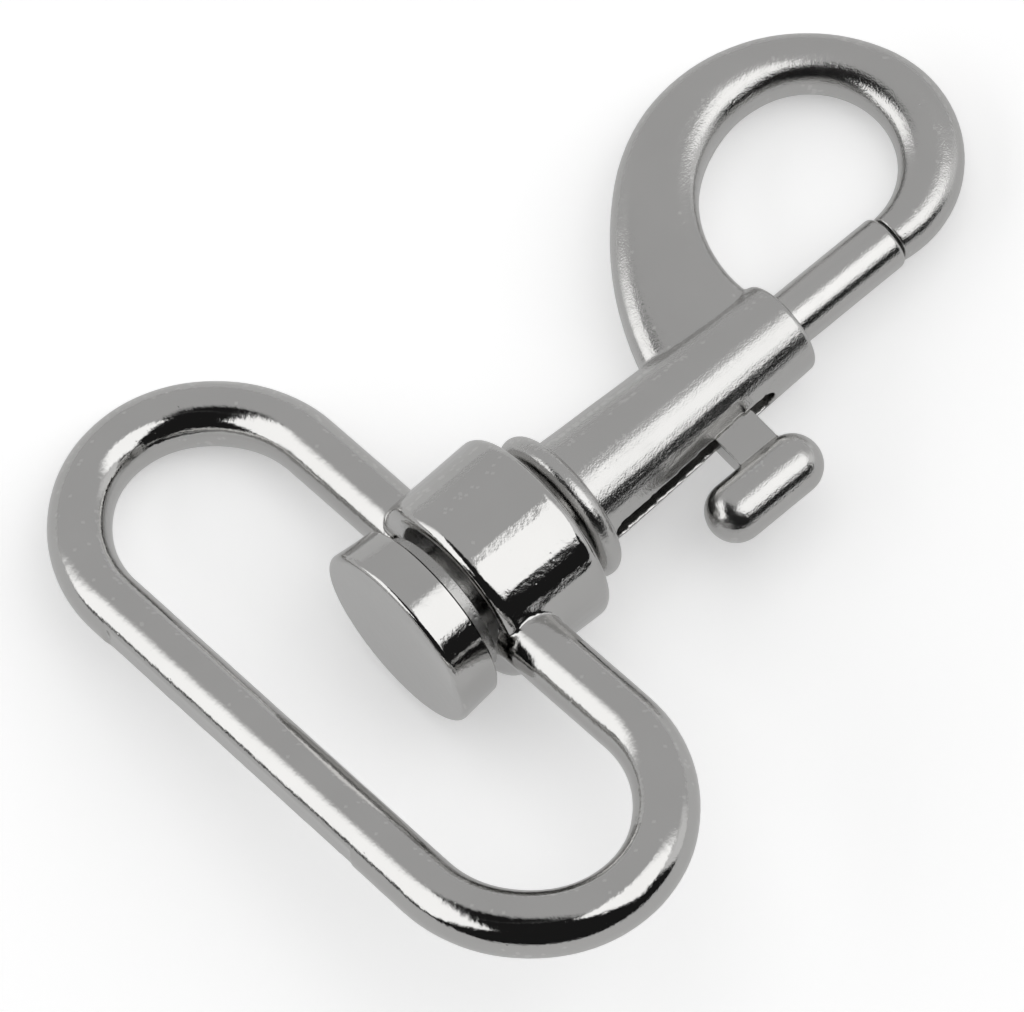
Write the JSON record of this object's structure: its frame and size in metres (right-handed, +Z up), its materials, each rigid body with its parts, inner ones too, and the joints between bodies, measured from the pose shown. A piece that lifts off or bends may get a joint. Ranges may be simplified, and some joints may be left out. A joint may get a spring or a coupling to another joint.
{
  "type": "swivel bolt snap",
  "caption": "Swivel bolt snap hook with an oval strap loop, black-nickel plated, with a spring bolt and thumb knob.",
  "frame": {"origin": "centre of the underside of the object's box, on the table it lies on", "axes": "+Z up; +X along the swivel axis from the strap loop to the hook, seen from above (the axis itself slopes 7.2 degrees down towards the hook); +Y towards the side the hook curls to"},
  "size_m": [0.0552, 0.0448, 0.0147],
  "materials": {
    "plated_cast": "polished",
    "plated_head": "polished",
    "washer_steel": "satin",
    "plated_bolt": "satin",
    "spring_wire": "satin"
  },
  "bodies": {
    "hook": {"hook_body": "plated_cast", "swivel_cap": "plated_head", "swivel_washer": "washer_steel", "bolt_spring": "spring_wire"},
    "loop": {"strap_loop": "plated_cast"},
    "gate": {"bolt": "plated_bolt", "thumb_knob": "plated_bolt"}
  },
  "joints": [
    {"name": "loop_swivel", "type": "hinge", "parent": "hook", "child": "loop", "pos_m": [-0.00807, 0, 0.00604], "axis": [0.9921, 0, -0.1253], "continuous": true},
    {"name": "bolt_slide", "type": "slide", "parent": "hook", "child": "gate", "axis": [-0.9921, 0, 0.1253], "range_m": [0, 0.0065], "stiffness_N_per_m": 350, "springref_m": -0.005, "deforming": ["bolt_spring"]}
  ]
}
